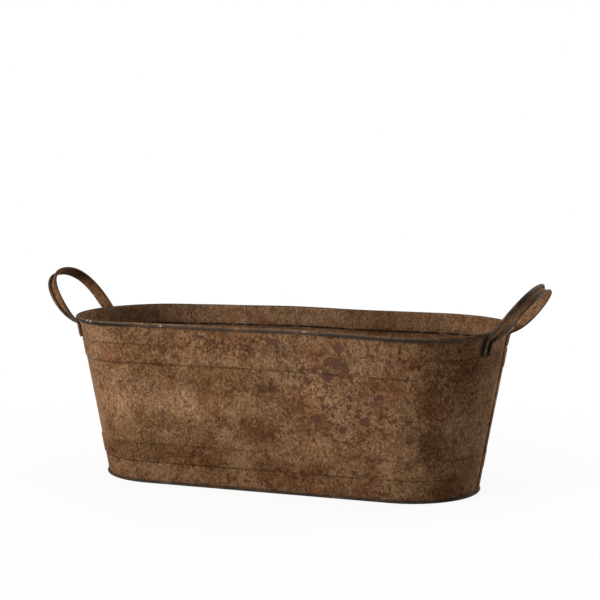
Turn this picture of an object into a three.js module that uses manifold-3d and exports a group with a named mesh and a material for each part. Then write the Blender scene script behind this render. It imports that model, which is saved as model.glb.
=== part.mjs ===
import * as THREE from 'three';
import { mergeVertices } from 'three/addons/utils/BufferGeometryUtils.js';
import Module from 'manifold-3d';

// Oblong planter tub in rusted sheet steel, with a wired rim, two raised bands, a seamed foot and a strap
// handle on each end. Millimetres, +Z up, length on X, front on -Y, origin on the floor under the middle.

// Sheet, wire and fits
const wallSheet = 0.7;
const baseSheet = 0.7;
const strapSheet = 0.5;
const rimWireDiameter = 2.8;
const edgeWireDiameter = 1.8;
const clearance = 0.3;

// Tub: straight sides joined by round ends, radii to the middle of the sheet
const sideLength = 270;
const rimRadius = 103.2;
const footRadius = 72.6;
const tubHeight = 174;

// Raised bands, one measured down from the rim and one up from the floor
const upperBandBelowRim = 33.6;
const lowerBandAboveFloor = 33.9;
const bandHeight = 20.5;
const bandRise = 1;
const bandRamp = 1.6;

// Rim curl round the wire, and the foot flange that the base is folded over
const curlTurn = THREE.MathUtils.degToRad(288);
const flangeReach = 1;

// Lock seam at each end, where the two wall panels hook into each other
const seamHookLength = 5;
const seamThinning = 0.1;
const seamEndGap = 2;
const seamRootOverlap = 0.6;
const seamRampRun = 1.1;
const seamLayers = 4;

// Strap handles
const strapWidth = 12.4;
const footSpacing = 90;
const bendSpacing = 86;
const legAboveBand = 0.5;
const strapBelowRim = 3.6;
const legBend = 4;
const loopLift = THREE.MathUtils.degToRad(27);
const loopReach = 34.2;
const loopRise = 41.6;
const loopLead = 16;
const loopRound = 62;
const loopTilt = THREE.MathUtils.degToRad(52);
const twistLength = 71;
const edgeCurlTurn = THREE.MathUtils.degToRad(285);

// Facets
const quarterFacets = 10;
const rimCurlFacets = 11;
const edgeCurlFacets = 6;
const seamFoldFacets = 5;
const footFoldFacets = 6;
const rimWireSides = 8;
const edgeWireSides = 6;
const bendSteps = 4;
const loopSteps = 13;
const mergeTolerance = 1e-4;

// Sizes that follow from those above
const halfSide = sideLength / 2;
const wallSlope = (rimRadius - footRadius) / tubHeight;
const wallLean = Math.atan(wallSlope);
const rimCurlRadius = rimWireDiameter / 2 + clearance + wallSheet / 2;
const beadRadius = rimCurlRadius + wallSheet / 2;
const beadBottom = tubHeight - 2 * beadRadius;
const upperBandCentre = tubHeight - upperBandBelowRim;
const upperBandTop = upperBandCentre + bandHeight / 2;
const flangeHeight = baseSheet + clearance + wallSheet / 2;
const footFoldRadius = baseSheet + clearance + wallSheet / 2;
const footTop = 2 * footFoldRadius;
const facetAngle = Math.PI / 2 / quarterFacets;
const halfFacet = facetAngle / 2;
const rimCentre = rimCurlCentre();

function wallRadiusAt(z) {
  return footRadius + wallSlope * z;
}

// The wall runs into the curl without a kink, so the curl's centre is one radius off the wall line.
function rimCurlCentre() {
  const z = tubHeight - beadRadius;
  const tangentZ = z + rimCurlRadius * Math.sin(wallLean);
  return new THREE.Vector2(wallRadiusAt(tangentZ) + rimCurlRadius * Math.cos(wallLean), z);
}

function arc(centre, radius, from, turn, facets) {
  const points = [];
  for (let i = 0; i <= facets; i += 1) {
    const angle = from + (turn * i) / facets;
    points.push(new THREE.Vector2(centre.x + radius * Math.cos(angle), centre.y + radius * Math.sin(angle)));
  }
  return points;
}

// Closed outline of a bent sheet from the line along the middle of its thickness.
function sheetOutline(middle, thickness) {
  const left = [];
  const right = [];
  middle.forEach((point, i) => {
    const before = middle[Math.max(i - 1, 0)];
    const after = middle[Math.min(i + 1, middle.length - 1)];
    const inward = i > 0 ? point.clone().sub(before).normalize() : after.clone().sub(point).normalize();
    const onward = i < middle.length - 1 ? after.clone().sub(point).normalize() : inward.clone();
    const normal = new THREE.Vector2(-inward.y - onward.y, inward.x + onward.x).normalize();
    const reach = thickness / 2 / (normal.x * -inward.y + normal.y * inward.x);
    left.push(point.clone().addScaledVector(normal, reach));
    right.unshift(point.clone().addScaledVector(normal, -reach));
  });
  return left.concat(right);
}

// A station places a section (distance from the tub's middle line, height) in space.
function roundStation(side, angle) {
  return { x: side * halfSide, y: 0, outX: Math.cos(angle), outY: Math.sin(angle) };
}

function ringAt(station, section) {
  return section.map((p) => new THREE.Vector3(station.x + station.outX * p.x, station.y + station.outY * p.x, p.y));
}

// Stations of one quarter end, from the end's middle facet to the straight side or back.
function quarterStations(side, endAngle, sideAngle) {
  const turn = Math.sign(sideAngle - endAngle);
  const stations = [];
  for (let i = 0; i < quarterFacets; i += 1) {
    stations.push(roundStation(side, endAngle + turn * (halfFacet + i * facetAngle)));
  }
  stations.push(roundStation(side, sideAngle));
  return stations;
}

function loopStations() {
  const half = Math.PI / 2;
  return [
    ...quarterStations(1, 0, -half).reverse(),
    ...quarterStations(1, 0, half),
    ...quarterStations(-1, Math.PI, half).reverse(),
    ...quarterStations(-1, Math.PI, 3 * half),
  ];
}

// Join rings of points into a closed skin. Section ends that lie on the tub's middle line close by themselves.
function skin(rings, { loop, openSection = false, section }) {
  const count = rings[0].length;
  const positions = rings.flat().flatMap((p) => [p.x, p.y, p.z]);
  const index = [];
  const ringPairs = loop ? rings.length : rings.length - 1;
  const pointPairs = openSection ? count - 1 : count;
  for (let i = 0; i < ringPairs; i += 1) {
    const here = i * count;
    const next = ((i + 1) % rings.length) * count;
    for (let j = 0; j < pointPairs; j += 1) {
      const k = (j + 1) % count;
      index.push(here + j, next + j, next + k, here + j, next + k, here + k);
    }
  }
  if (!loop) {
    const last = (rings.length - 1) * count;
    THREE.ShapeUtils.triangulateShape(section, []).forEach(([a, b, c]) => {
      const [p, q, r] = THREE.ShapeUtils.isClockWise(section) ? [c, b, a] : [a, b, c];
      index.push(p, q, r, last + r, last + q, last + p);
    });
  }
  return closedGeometry(positions, index);
}

function signedVolume(geometry) {
  const position = geometry.getAttribute('position');
  const [a, b, c] = [new THREE.Vector3(), new THREE.Vector3(), new THREE.Vector3()];
  let volume = 0;
  for (let i = 0; i < geometry.index.count; i += 3) {
    a.fromBufferAttribute(position, geometry.index.getX(i));
    b.fromBufferAttribute(position, geometry.index.getX(i + 1));
    c.fromBufferAttribute(position, geometry.index.getX(i + 2));
    volume += a.dot(b.cross(c)) / 6;
  }
  return volume;
}

// Shared points merged, triangles of no area dropped, faces pointing out.
function closedGeometry(positions, index) {
  const loose = new THREE.BufferGeometry();
  loose.setAttribute('position', new THREE.Float32BufferAttribute(positions, 3));
  loose.setIndex(index);
  const merged = mergeVertices(loose, mergeTolerance);
  const kept = [];
  for (let i = 0; i < merged.index.count; i += 3) {
    const [a, b, c] = [merged.index.getX(i), merged.index.getX(i + 1), merged.index.getX(i + 2)];
    if (a !== b && b !== c && c !== a) kept.push(a, b, c);
  }
  merged.setIndex(kept);
  if (signedVolume(merged) < 0) merged.setIndex(kept.reverse());
  return merged;
}

const wasm = await Module();
wasm.setup();

function toSolid(geometry) {
  const bare = geometry.clone();
  bare.deleteAttribute('normal');
  bare.deleteAttribute('uv');
  const merged = mergeVertices(bare, mergeTolerance);
  const vertProperties = new Float32Array(merged.getAttribute('position').array);
  const triVerts = new Uint32Array(merged.index.array);
  return new wasm.Manifold(new wasm.Mesh({ numProp: 3, vertProperties, triVerts }));
}

function fromSolid(solid) {
  const mesh = solid.getMesh();
  return closedGeometry(Array.from(mesh.vertProperties), Array.from(mesh.triVerts));
}

// Wall panel: rim curl, wall with two bands, foot flange. The bands fade out beside the end seams.
function panelSection(bandShare) {
  const middle = arc(rimCentre, rimCurlRadius, Math.PI - wallLean - curlTurn, curlTurn, rimCurlFacets);
  [upperBandCentre, lowerBandAboveFloor].forEach((centre) => {
    [
      [bandHeight / 2, 0],
      [bandHeight / 2 - bandRamp, bandRise],
      [bandRamp - bandHeight / 2, bandRise],
      [-bandHeight / 2, 0],
    ].forEach(([offset, rise]) => {
      const z = centre + offset;
      middle.push(new THREE.Vector2(wallRadiusAt(z) + rise * bandShare, z));
    });
  });
  const flangeRoot = wallRadiusAt(flangeHeight);
  middle.push(new THREE.Vector2(flangeRoot, flangeHeight));
  middle.push(new THREE.Vector2(flangeRoot + wallSheet / 2 + flangeReach, flangeHeight));
  return sheetOutline(middle, wallSheet);
}

function panelBody() {
  const seamY = -clearance / 2;
  const seamOut = Math.cos(halfFacet);
  const half = Math.PI / 2;
  const leftQuarter = quarterStations(-1, Math.PI, 3 * half);
  const rightQuarter = quarterStations(1, 0, -half).reverse();
  const flat = panelSection(0);
  const banded = panelSection(1);
  const rings = [
    ringAt({ x: -halfSide, y: seamY, outX: -seamOut, outY: 0 }, flat),
    ...leftQuarter.map((station, i) => ringAt(station, i === 0 ? flat : banded)),
    ...rightQuarter.map((station, i) => ringAt(station, i === quarterFacets ? flat : banded)),
    ringAt({ x: halfSide, y: seamY, outX: seamOut, outY: 0 }, flat),
  ];
  return skin(rings, { loop: false, section: flat });
}

// Seam shapes are drawn in plan at the +X end, as (distance out from the wall's middle, distance along +Y),
// and leaned with the wall between the foot seam and the rim bead.
const seamPitch = wallSheet + clearance;
const seamBottom = footTop + seamEndGap;
const seamTop = beadBottom - seamEndGap;
const seamRampTop = seamHookLength / 2 + seamPitch + seamPitch / 2;
const seamRampFoot = seamRampTop + seamRampRun;

function leanWithWall(geometry) {
  const lean = wallSlope * Math.cos(halfFacet);
  const endX = halfSide + footRadius * Math.cos(halfFacet);
  return geometry.applyMatrix4(new THREE.Matrix4().set(1, 0, lean, endX, 0, 1, 0, 0, 0, 0, 1, 0, 0, 0, 0, 1));
}

function seamHook(middle) {
  const outline = sheetOutline(middle, wallSheet - seamThinning);
  const hook = new THREE.ExtrudeGeometry(new THREE.Shape(outline), {
    depth: seamTop - seamBottom,
    bevelEnabled: false,
  });
  return leanWithWall(hook.translate(0, 0, seamBottom));
}

// Edge folded back outwards.
function innerHook() {
  const foldY = seamHookLength / 2;
  const fold = arc(new THREE.Vector2(seamPitch, foldY), seamPitch, Math.PI, -Math.PI, seamFoldFacets);
  return seamHook([
    new THREE.Vector2(0, -clearance / 2 - seamRootOverlap),
    ...fold,
    new THREE.Vector2(2 * seamPitch, -foldY),
  ]);
}

// Edge stepped out over the other panel and folded back inwards.
function outerHook() {
  const foldY = -seamHookLength / 2;
  const fold = arc(new THREE.Vector2(2 * seamPitch, foldY), seamPitch, 0, -Math.PI, seamFoldFacets);
  return seamHook([
    new THREE.Vector2(0, seamRampFoot + seamRootOverlap),
    new THREE.Vector2(0, seamRampFoot),
    new THREE.Vector2(3 * seamPitch, seamRampTop),
    ...fold,
    new THREE.Vector2(seamPitch, -foldY),
  ]);
}

// Room cut in the panel with the outer hook, so that the other panel's hook can lie in line with the wall.
function seamNotch() {
  const depth = 2 * seamLayers * seamPitch;
  const height = seamTop - seamBottom + 2 * clearance;
  const notch = new THREE.BoxGeometry(depth, seamRampFoot, height);
  return leanWithWall(notch.translate(0, seamRampFoot / 2, seamBottom - clearance + height / 2));
}

function wallPanel() {
  const solid = toSolid(panelBody())
    .add(toSolid(innerHook()))
    .subtract(toSolid(seamNotch().rotateZ(Math.PI)))
    .add(toSolid(outerHook().rotateZ(Math.PI)));
  return fromSolid(solid);
}

function rimWire() {
  const circle = arc(rimCentre, rimWireDiameter / 2, 0, 2 * Math.PI, rimWireSides).slice(0, -1);
  return skin(loopStations().map((station) => ringAt(station, circle)), { loop: true });
}

// Flat base whose edge is folded up and over the wall's foot flange.
function basePlate() {
  const flangeEnd = wallRadiusAt(flangeHeight) + wallSheet / 2 + flangeReach;
  const innerFold = footFoldRadius - baseSheet;
  const foldCentre = new THREE.Vector2(flangeEnd + clearance - innerFold, footFoldRadius);
  const returnEnd = wallRadiusAt(footTop) + wallSheet / 2 + clearance;
  const outer = arc(foldCentre, footFoldRadius, -Math.PI / 2, Math.PI, footFoldFacets);
  const inner = arc(foldCentre, innerFold, Math.PI / 2, -Math.PI, footFoldFacets);
  const section = [
    new THREE.Vector2(0, 0),
    ...outer,
    new THREE.Vector2(returnEnd, footTop),
    new THREE.Vector2(returnEnd, footTop - baseSheet),
    ...inner,
    new THREE.Vector2(0, baseSheet),
  ];
  return skin(loopStations().map((station) => ringAt(station, section)), { loop: true, openSection: true });
}

// A place on the front half of the +X end wall, where a handle leg of the given spacing lies.
function legPlace(spacing, z) {
  const radius = wallRadiusAt(z) + wallSheet / 2 + clearance;
  const angle = Math.asin(-spacing / 2 / radius);
  const outward = new THREE.Vector3(Math.cos(angle), Math.sin(angle), 0);
  const along = new THREE.Vector3(Math.sin(angle), -Math.cos(angle), 0);
  return { outward, along, point: outward.clone().multiplyScalar(radius).add(new THREE.Vector3(halfSide, 0, z)) };
}

// Route of one strap handle on the +X end: up the wall, out under the rim bead, round the grip and back. The legs
// stand wider apart at their feet, and the strap twists from the bend on, fast at first, until its face is turned up.
// Each frame has a point on the strap's inner face, the direction across the strap and the direction out of it.
function strapFrames() {
  const foot = legPlace(footSpacing, upperBandTop + legAboveBand);
  const corner = legPlace(bendSpacing, beadBottom - strapBelowRim);
  const up = corner.point.clone().sub(foot.point).normalize();
  const away = corner.outward.clone().multiplyScalar(Math.cos(loopLift)).setZ(Math.sin(loopLift));
  const bendStart = corner.point.clone().addScaledVector(up, -legBend);
  const bendEnd = corner.point.clone().addScaledVector(away, legBend);
  const tip = new THREE.Vector3(halfSide + rimRadius + loopReach, 0, tubHeight + loopRise);
  const acrossTip = new THREE.Vector3(-Math.sin(loopTilt), 0, Math.cos(loopTilt));

  const bend = new THREE.QuadraticBezierCurve3(bendStart, corner.point, bendEnd);
  const grip = new THREE.CubicBezierCurve3(
    bendEnd,
    bendEnd.clone().addScaledVector(away, loopLead),
    tip.clone().setY(-loopRound),
    tip,
  );

  const frame = (point, tangent, acrossWall, distance) => {
    const untwisted = 1 - Math.min(distance / twistLength, 1);
    const across = acrossWall.clone().lerp(acrossTip, 1 - untwisted * untwisted);
    across.addScaledVector(tangent, -across.dot(tangent)).normalize();
    return { point, across, out: tangent.clone().cross(across) };
  };
  const frameOn = (curve, share, before) => {
    const distance = before + share * curve.getLength();
    return frame(curve.getPointAt(share), curve.getTangentAt(share), corner.along, distance);
  };
  const half = [frame(foot.point, up, foot.along, 0)];
  for (let i = 0; i < bendSteps; i += 1) {
    half.push(frameOn(bend, i / bendSteps, 0));
  }
  for (let i = 0; i <= loopSteps; i += 1) {
    half.push(frameOn(grip, i / loopSteps, bend.getLength()));
  }
  const mirrorY = new THREE.Vector3(1, -1, 1);
  const otherHalf = half.slice(0, -1).reverse().map(({ point, across, out }) => ({
    point: point.clone().multiply(mirrorY),
    across: across.clone().multiply(mirrorY),
    out: out.clone().multiply(mirrorY),
  }));
  return half.concat(otherHalf);
}

const edgeCurlRadius = edgeWireDiameter / 2 + clearance + strapSheet / 2;
const edgeCentre = new THREE.Vector2(strapWidth / 2 - edgeCurlRadius - strapSheet / 2, edgeCurlRadius + strapSheet / 2);

function sweepStrap(section) {
  const rings = strapFrames().map(({ point, across, out }) =>
    section.map((p) => point.clone().addScaledVector(across, p.x).addScaledVector(out, p.y)),
  );
  return skin(rings, { loop: false, section });
}

// Flat strap with both edges rolled up on the outer face.
function handleStrap() {
  const rightEdge = arc(edgeCentre, edgeCurlRadius, -Math.PI / 2, edgeCurlTurn, edgeCurlFacets);
  const leftEdge = rightEdge.map((p) => new THREE.Vector2(-p.x, p.y)).reverse();
  return sweepStrap(sheetOutline(leftEdge.concat(rightEdge), strapSheet));
}

function edgeWire(side) {
  const centre = new THREE.Vector2(side * edgeCentre.x, edgeCentre.y);
  return sweepStrap(arc(centre, edgeWireDiameter / 2, 0, 2 * Math.PI, edgeWireSides).slice(0, -1));
}

const finishes = {
  rustedWall: { color: 0x6d4d36, roughness: 0.85, metalness: 0.15 },
  wornEdge: { color: 0x4a4542, roughness: 0.6, metalness: 0.6 },
  bareWire: { color: 0x55504c, roughness: 0.5, metalness: 0.8 },
  rustedStrap: { color: 0x66482f, roughness: 0.8, metalness: 0.2 },
};

function piece(name, geometry, finish) {
  const mesh = new THREE.Mesh(geometry, new THREE.MeshStandardMaterial(finishes[finish]));
  mesh.name = name;
  return mesh;
}

const planter = new THREE.Group();
const panel = wallPanel();
const frontWall = piece('front_wall', panel, 'rustedWall');
const rearWall = piece('rear_wall', panel, 'rustedWall');
rearWall.rotation.z = Math.PI;
planter.add(frontWall, rearWall);
planter.add(piece('base_plate', basePlate(), 'wornEdge'));
planter.add(piece('rim_wire', rimWire(), 'bareWire'));

for (const [end, turn] of [['right', 0], ['left', Math.PI]]) {
  const handle = new THREE.Group();
  handle.rotation.z = turn;
  handle.add(piece(`${end}_handle`, handleStrap(), 'rustedStrap'));
  handle.add(piece(`${end}_handle_upper_wire`, edgeWire(1), 'bareWire'));
  handle.add(piece(`${end}_handle_lower_wire`, edgeWire(-1), 'bareWire'));
  planter.add(handle);
}

export default planter;
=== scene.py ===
import math

import bmesh
import bpy
from mathutils import Matrix, Vector


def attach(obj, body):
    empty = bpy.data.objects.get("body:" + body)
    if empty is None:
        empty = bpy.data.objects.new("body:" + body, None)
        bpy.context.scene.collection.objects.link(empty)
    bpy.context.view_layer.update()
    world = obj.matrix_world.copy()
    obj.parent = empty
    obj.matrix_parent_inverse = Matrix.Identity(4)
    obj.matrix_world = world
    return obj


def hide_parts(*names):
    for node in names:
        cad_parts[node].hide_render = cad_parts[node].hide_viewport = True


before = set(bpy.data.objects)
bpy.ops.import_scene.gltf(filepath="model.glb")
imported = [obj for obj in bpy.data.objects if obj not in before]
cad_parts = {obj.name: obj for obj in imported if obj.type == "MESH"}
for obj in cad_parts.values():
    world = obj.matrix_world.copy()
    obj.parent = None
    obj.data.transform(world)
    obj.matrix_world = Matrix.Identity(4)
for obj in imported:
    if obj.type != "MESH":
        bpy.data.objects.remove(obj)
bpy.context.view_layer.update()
print("frame loaded,", len(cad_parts), "solids")

mm = 0.001
upAxis = Vector((0, 0, 1))
unturned = Matrix.Identity(4)
halfTurn = Matrix.Rotation(math.pi, 4, "Z")  # takes the right end to the left end
mirrorFront = Matrix.Scale(-1, 4, (0, 1, 0))  # takes the front to the rear
joinDistance = 0.01 * mm  # points closer than this become one
sharpAngle = math.radians(38)  # an edge that turns more than this stays crisp
noiseMiddle = 0.5

# the tub, radii to the middle of the sheet
tub = dict(
    halfSide=135 * mm,
    rimRadius=103.2 * mm,
    footRadius=72.6 * mm,
    height=174 * mm,
    sheet=0.7 * mm,
    gap=0.3 * mm,  # between layers that touch on the real one
    curlGap=0.24 * mm,
    rimWire=2.8 * mm,
    curlTurn=math.radians(288),
    curlSteps=30,
    # the curl is rubbed bare, patchily inside and on top, all over outside
    wornInside=0.35,
    insideTurns=(math.radians(8), math.radians(30)),  # measured from the inside face
    outsideTurns=(math.radians(126), math.radians(168)),
    # how much of that along the front and the rear, by x in mm
    frontWear=((-205, 1.8), (-165, 1.1), (-110, 0.65), (30, 0.65), (120, 0.8), (195, 0.8), (215, 0.6)),
    rearWear=((20, 1.8), (80, 1.2), (205, 0.6)),
    flangeReach=1 * mm,
    footCornerDark=1.6,  # darker in the corner over the foot
    footCornerDarkTop=5 * mm,
)
bands = dict(
    centres=(140.4 * mm, 33.9 * mm),
    height=20.5 * mm,
    rise=1 * mm,
    ramp=1.6 * mm,
    # dirt and painted shade along the band edges, and a painted shadow line inside under each ledge
    dirtAndShadeReach=1.4 * mm,
    ledge=1.4 * mm,
    ledgeShadowAndDirt=(4.5, 2.0),
    dirtAndShadeAbove=0.6,
    dirtAndShadeRight=0.7,  # less dirt and painted shade towards the right
    dirtAndShadeFadeX=70 * mm,
    fadeStart=math.radians(4),  # flattened beside the end seams
    fadeEnd=math.radians(9),
)
dents = dict(
    depth=1.1 * mm,
    size=75 * mm,
    detail=2.0,
    fade=18 * mm,  # none at the rim and the foot
    endStart=math.radians(36),  # none where the handles lie on the end walls
    endFull=math.radians(60),
    seed=3.0,
)
# pulled out of true by hand: the front rim a little higher on the left and lower on the right
warp = dict(
    left=1.8 * mm,
    right=-2.9 * mm,
    leftX=20 * mm,
    rightX=225 * mm,
    startHeight=50 * mm,
    fullHeight=150 * mm,
    frontY=-70 * mm,
    rearY=25 * mm,
    rightLevel=(203 * mm, 228 * mm),  # level again where the handles are
    leftLevel=(130 * mm, 200 * mm),
    rightFoot=-1.1 * mm,  # the foot drawn in at both ends
    leftFoot=0.8 * mm,
    footStartX=100 * mm,
    footEndX=210 * mm,
    footLow=20 * mm,
    footHigh=150 * mm,
    rearFrom=20 * mm,
    rearFull=70 * mm,
    rearWaves=(  # the rear rim is not level either
        dict(x=-175 * mm, reach=70 * mm, lift=-1.1 * mm),
        dict(x=-30 * mm, reach=85 * mm, lift=1.2 * mm),
    ),
)

wallSlope = (tub["rimRadius"] - tub["footRadius"]) / tub["height"]
wallLean = math.atan(wallSlope)
curlRadius = tub["rimWire"] / 2 + tub["curlGap"] + tub["sheet"] / 2
beadRadius = curlRadius + tub["sheet"] / 2
beadBottom = tub["height"] - 2 * beadRadius
curlHeight = tub["height"] - beadRadius
footFold = tub["sheet"] + tub["gap"] + tub["sheet"] / 2  # outer radius of the base's folded edge
footTop = 2 * footFold
flangeHeight = footFold  # the wall's flange lies in the middle of that fold


def wallRadius(z):
    return tub["footRadius"] + wallSlope * z


def smoothStep(value, low, high):
    share = min(max((value - low) / (high - low), 0), 1)
    return share * share * (3 - 2 * share)


def bandRise(z):
    half = bands["height"] / 2
    return bands["rise"] * max(smoothStep(half - abs(z - c), 0, bands["ramp"]) for c in bands["centres"])


# dirt and painted shade in the corner at the foot of each band edge; darker in the corner over the tub's
# foot
def bandDirtAndShade(z):
    half = bands["height"] / 2
    under = min(abs(c - half - z) for c in bands["centres"])
    above = min(abs(c + half - z) for c in bands["centres"])
    dirtAndShade = max(1 - under / bands["dirtAndShadeReach"], bands["dirtAndShadeAbove"] * (1 - above / bands["dirtAndShadeReach"]))
    low = tub["footCornerDark"] * (1 - z / tub["footCornerDarkTop"])
    return max(dirtAndShade, low, 0)


# and inside, a painted shadow line with some dirt along the ledge over each band
def ledgeShadowAndDirt(z):
    dirtAndShade = 0.0
    for centre, most in zip(bands["centres"], bands["ledgeShadowAndDirt"]):
        ledge = centre + bands["height"] / 2 + bands["ledge"]
        dirtAndShade = max(dirtAndShade, most * (1 - abs(ledge - z) / bands["dirtAndShadeReach"]))
    return dirtAndShade


def dentShare(z):
    aboveFoot = smoothStep(z, footTop, footTop + dents["fade"])
    belowRim = smoothStep(-z, -beadBottom, dents["fade"] - beadBottom)
    return aboveFoot * belowRim


def warpShift(place):
    along = smoothStep(place.x, warp["leftX"], warp["rightX"])
    raised = smoothStep(place.z, warp["startHeight"], warp["fullHeight"])
    front = smoothStep(-place.y, -warp["rearY"], -warp["frontY"])
    level = 1 - smoothStep(abs(place.x), *warp["rightLevel" if place.x > 0 else "leftLevel"])
    lift = (warp["left"] + (warp["right"] - warp["left"]) * along) * front
    rear = smoothStep(place.y, warp["rearFrom"], warp["rearFull"])
    for wave in warp["rearWaves"]:
        lift += wave["lift"] * rear * (1 - smoothStep(abs(place.x - wave["x"]), 0, wave["reach"]))
    atEnd = smoothStep(abs(place.x), warp["footStartX"], warp["footEndX"])
    low = 1 - smoothStep(place.z, warp["footLow"], warp["footHigh"])
    drawn = (warp["rightFoot"] if place.x > 0 else warp["leftFoot"]) * atEnd * low
    return Vector((drawn, 0, lift * raised * level))


# one way to add a node: its settings by name, its inputs as values or as sockets to link.
# it gives the node's outputs
def addNode(tree, kind, inputs=None, **settings):
    node = tree.nodes.new(kind)
    for name, value in settings.items():
        setattr(node, name, value)
    for key, value in (inputs or {}).items():
        if isinstance(value, bpy.types.NodeSocket):
            tree.links.new(value, node.inputs[key])
        else:
            node.inputs[key].default_value = value
    return node.outputs


def hexColor(code):
    parts = [int(code[i:i + 2], 16) / 255 for i in (1, 3, 5)]
    linear = [p / 12.92 if p <= 0.04045 else ((p + 0.055) / 1.055) ** 2.4 for p in parts]
    return (*linear, 1)


# sections are lists of points, each a dict with its place and the marks that the sweep carries along
def arcPoints(centre, radius, start, turn, steps, **marks):
    points = []
    for i in range(steps + 1):
        angle = start + turn * i / steps
        x = centre[0] + radius * math.cos(angle)
        y = centre[1] + radius * math.sin(angle)
        points.append(dict(x=x, y=y, **marks))
    return points


def sheetOutline(middle, thickness):
    left = []
    right = []
    places = [Vector((p["x"], p["y"])) for p in middle]
    for i, point in enumerate(middle):
        inward = places[i] - places[i - 1] if i else places[1] - places[0]
        onward = places[i + 1] - places[i] if i < len(places) - 1 else inward
        inward = inward.normalized()
        along = (inward + onward.normalized()).normalized()
        side = Vector((-along.y, along.x))
        reach = thickness / 2 / side.dot(Vector((-inward.y, inward.x)))
        left.append(dict(point, x=places[i].x + side.x * reach, y=places[i].y + side.y * reach))
        right.append(dict(point, x=places[i].x - side.x * reach, y=places[i].y - side.y * reach))
    outline = left + right[::-1]
    return outline + outline[:1]


# what the sweep reads beside the places of stations and section points
stationWays = ("across", "out")
stationShares = ("bandShare", "sideSlack", "dirtShare", "wearShare")
pointMarks = ("relief", "slack", "edgeWear", "grime", "inside")


# the sweep: every point of a section placed at every station of a path
def buildSweepTree():
    tree = bpy.data.node_groups.new("sweptSheet", "GeometryNodeTree")
    tree.is_modifier = True
    sockets = tree.interface
    sockets.new_socket("Geometry", in_out="OUTPUT", socket_type="NodeSocketGeometry")
    for name, kind in (
        ("Path", "Object"), ("Section", "Object"), ("Stations", "Int"), ("Points", "Int"),
        ("Dent depth", "Float"), ("Dent size", "Float"), ("Dent detail", "Float"), ("Seed", "Float"),
        ("Join distance", "Float"), ("Finish", "Material"),
    ):
        sockets.new_socket(name, in_out="INPUT", socket_type="NodeSocket" + kind)
    given = addNode(tree, "NodeGroupInput")
    path = addNode(tree, "GeometryNodeObjectInfo", {"Object": given["Path"]})["Geometry"]
    section = addNode(tree, "GeometryNodeObjectInfo", {"Object": given["Section"]})["Geometry"]
    grid = {"Vertices X": given["Stations"], "Vertices Y": given["Points"]}
    grid = addNode(tree, "GeometryNodeMeshGrid", grid)["Mesh"]

    index = addNode(tree, "GeometryNodeInputIndex")[0]
    counts = {0: index, 1: given["Points"]}
    station = addNode(tree, "FunctionNodeIntegerMath", counts, operation="DIVIDE_FLOOR")[0]
    point = addNode(tree, "FunctionNodeIntegerMath", counts, operation="MODULO")[0]
    place = addNode(tree, "GeometryNodeInputPosition")[0]
    read = {}
    for source, where, kind, marks in (
        (path, station, "FLOAT_VECTOR", ("core", *stationWays)),
        (path, station, "FLOAT", stationShares),
        (section, point, "FLOAT_VECTOR", ("spot",)),
        (section, point, "FLOAT", pointMarks),
    ):
        for mark in marks:
            value = place  # a station's core and a section point's spot
            if mark not in ("core", "spot"):
                named = addNode(tree, "GeometryNodeInputNamedAttribute", {"Name": mark}, data_type=kind)
                value = named[0]
            sample = {"Geometry": source, "Value": value, "Index": where}
            read[mark] = addNode(tree, "GeometryNodeSampleIndex", sample, data_type=kind)[0]

    spot = addNode(tree, "ShaderNodeSeparateXYZ", {0: read["spot"]})
    raised = {0: read["relief"], 1: read["bandShare"], 2: spot["X"]}
    reach = addNode(tree, "ShaderNodeMath", raised, operation="MULTIPLY_ADD")[0]
    aside = {0: read["across"], 1: reach, 2: read["core"]}
    aside = addNode(tree, "ShaderNodeVectorMath", aside, operation="MULTIPLY_ADD")[0]
    placed = {0: read["out"], 1: spot["Y"], 2: aside}
    placed = addNode(tree, "ShaderNodeVectorMath", placed, operation="MULTIPLY_ADD")[0]

    # shallow dents, pushed along the same direction on both faces of the sheet
    fineness = {0: 1.0, 1: given["Dent size"]}
    fineness = addNode(tree, "ShaderNodeMath", fineness, operation="DIVIDE")[0]
    wave = {"Vector": placed, "W": given["Seed"], "Scale": fineness, "Detail": given["Dent detail"]}
    wave = addNode(tree, "ShaderNodeTexNoise", wave, noise_dimensions="4D")[0]
    wave = addNode(tree, "ShaderNodeMath", {0: wave, 1: noiseMiddle}, operation="SUBTRACT")[0]
    push = read["sideSlack"]
    for share in (read["slack"], given["Dent depth"], wave):
        push = addNode(tree, "ShaderNodeMath", {0: push, 1: share}, operation="MULTIPLY")[0]
    dented = {0: read["across"], 1: push, 2: placed}
    dented = addNode(tree, "ShaderNodeVectorMath", dented, operation="MULTIPLY_ADD")[0]
    shape = {"Geometry": grid, "Position": dented}
    shape = addNode(tree, "GeometryNodeSetPosition", shape)[0]

    # dirt and painted shade, by section point and by station
    dirtAndShade = {0: read["grime"], 1: read["dirtShare"]}
    dirtAndShade = addNode(tree, "ShaderNodeMath", dirtAndShade, operation="MULTIPLY")[0]
    wear = {0: read["edgeWear"], 1: read["wearShare"]}
    wear = addNode(tree, "ShaderNodeMath", wear, operation="MULTIPLY", use_clamp=True)[0]
    for mark, value in (("edgeWear", wear), ("grime", dirtAndShade), ("inside", read["inside"])):
        stored = {"Geometry": shape, "Name": mark, "Value": value}
        stored = addNode(tree, "GeometryNodeStoreNamedAttribute", stored, data_type="FLOAT", domain="POINT")
        shape = stored[0]
    joined = {"Geometry": shape, "Distance": given["Join distance"]}
    joined = addNode(tree, "GeometryNodeMergeByDistance", joined)[0]
    whole = addNode(tree, "GeometryNodeRealizeInstances", {"Geometry": joined})[0]
    finish = {"Geometry": whole, "Material": given["Finish"]}
    finish = addNode(tree, "GeometryNodeSetMaterial", finish)[0]
    addNode(tree, "NodeGroupOutput", {"Geometry": finish})
    return tree


def linkObject(name, data):
    made = bpy.data.objects.new(name, data)
    bpy.context.scene.collection.objects.link(made)
    return made


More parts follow.
